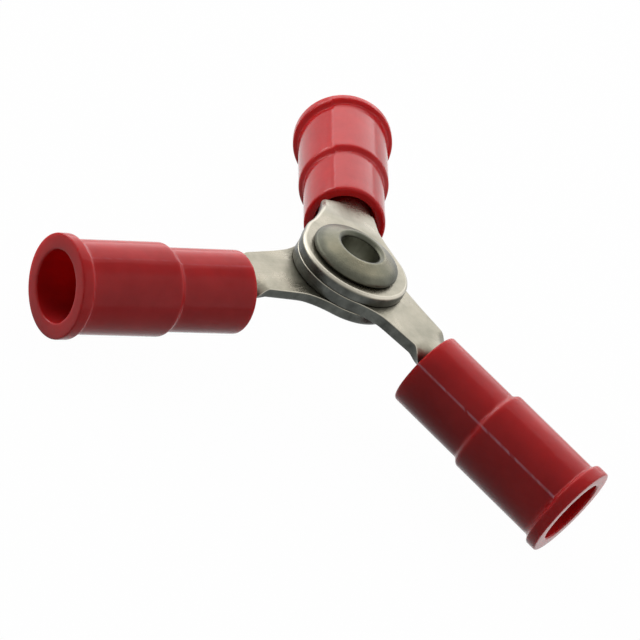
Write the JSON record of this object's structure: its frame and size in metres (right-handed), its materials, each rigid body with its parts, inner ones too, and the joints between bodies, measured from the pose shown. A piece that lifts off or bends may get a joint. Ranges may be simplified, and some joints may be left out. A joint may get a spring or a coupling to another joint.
{
  "type": "three-way splice connector",
  "caption": "Three-way wire splice: crimp barrels in flanged red nylon sleeves reach out from stacked ring tongues joined by a tubular rivet.",
  "frame": {"origin": "on the rivet's axis, at the height of the middle barrel's axis where its sleeve begins, which is about the object's centre of volume", "axes": "+Z along the rivet's axis towards its head; +X along the bottom terminal's arm, seen from above; the middle arm is turned 120 degrees and the top arm 240 degrees from it, counter-clockwise seen from +Z"},
  "size_m": [0.0273, 0.0312, 0.0075],
  "materials": {
    "tinned_copper": "dull tin plate on copper, warm grey",
    "plated_rivet": "dull tin plate on brass, darker olive grey",
    "red_nylon": "moulded red nylon, satin to glossy"
  },
  "bodies": {
    "root": {"rivet": "plated_rivet", "bottom_terminal": "tinned_copper", "middle_terminal": "tinned_copper", "top_terminal": "tinned_copper", "bottom_sleeve": "red_nylon", "middle_sleeve": "red_nylon", "top_sleeve": "red_nylon"}
  },
  "joints": []
}
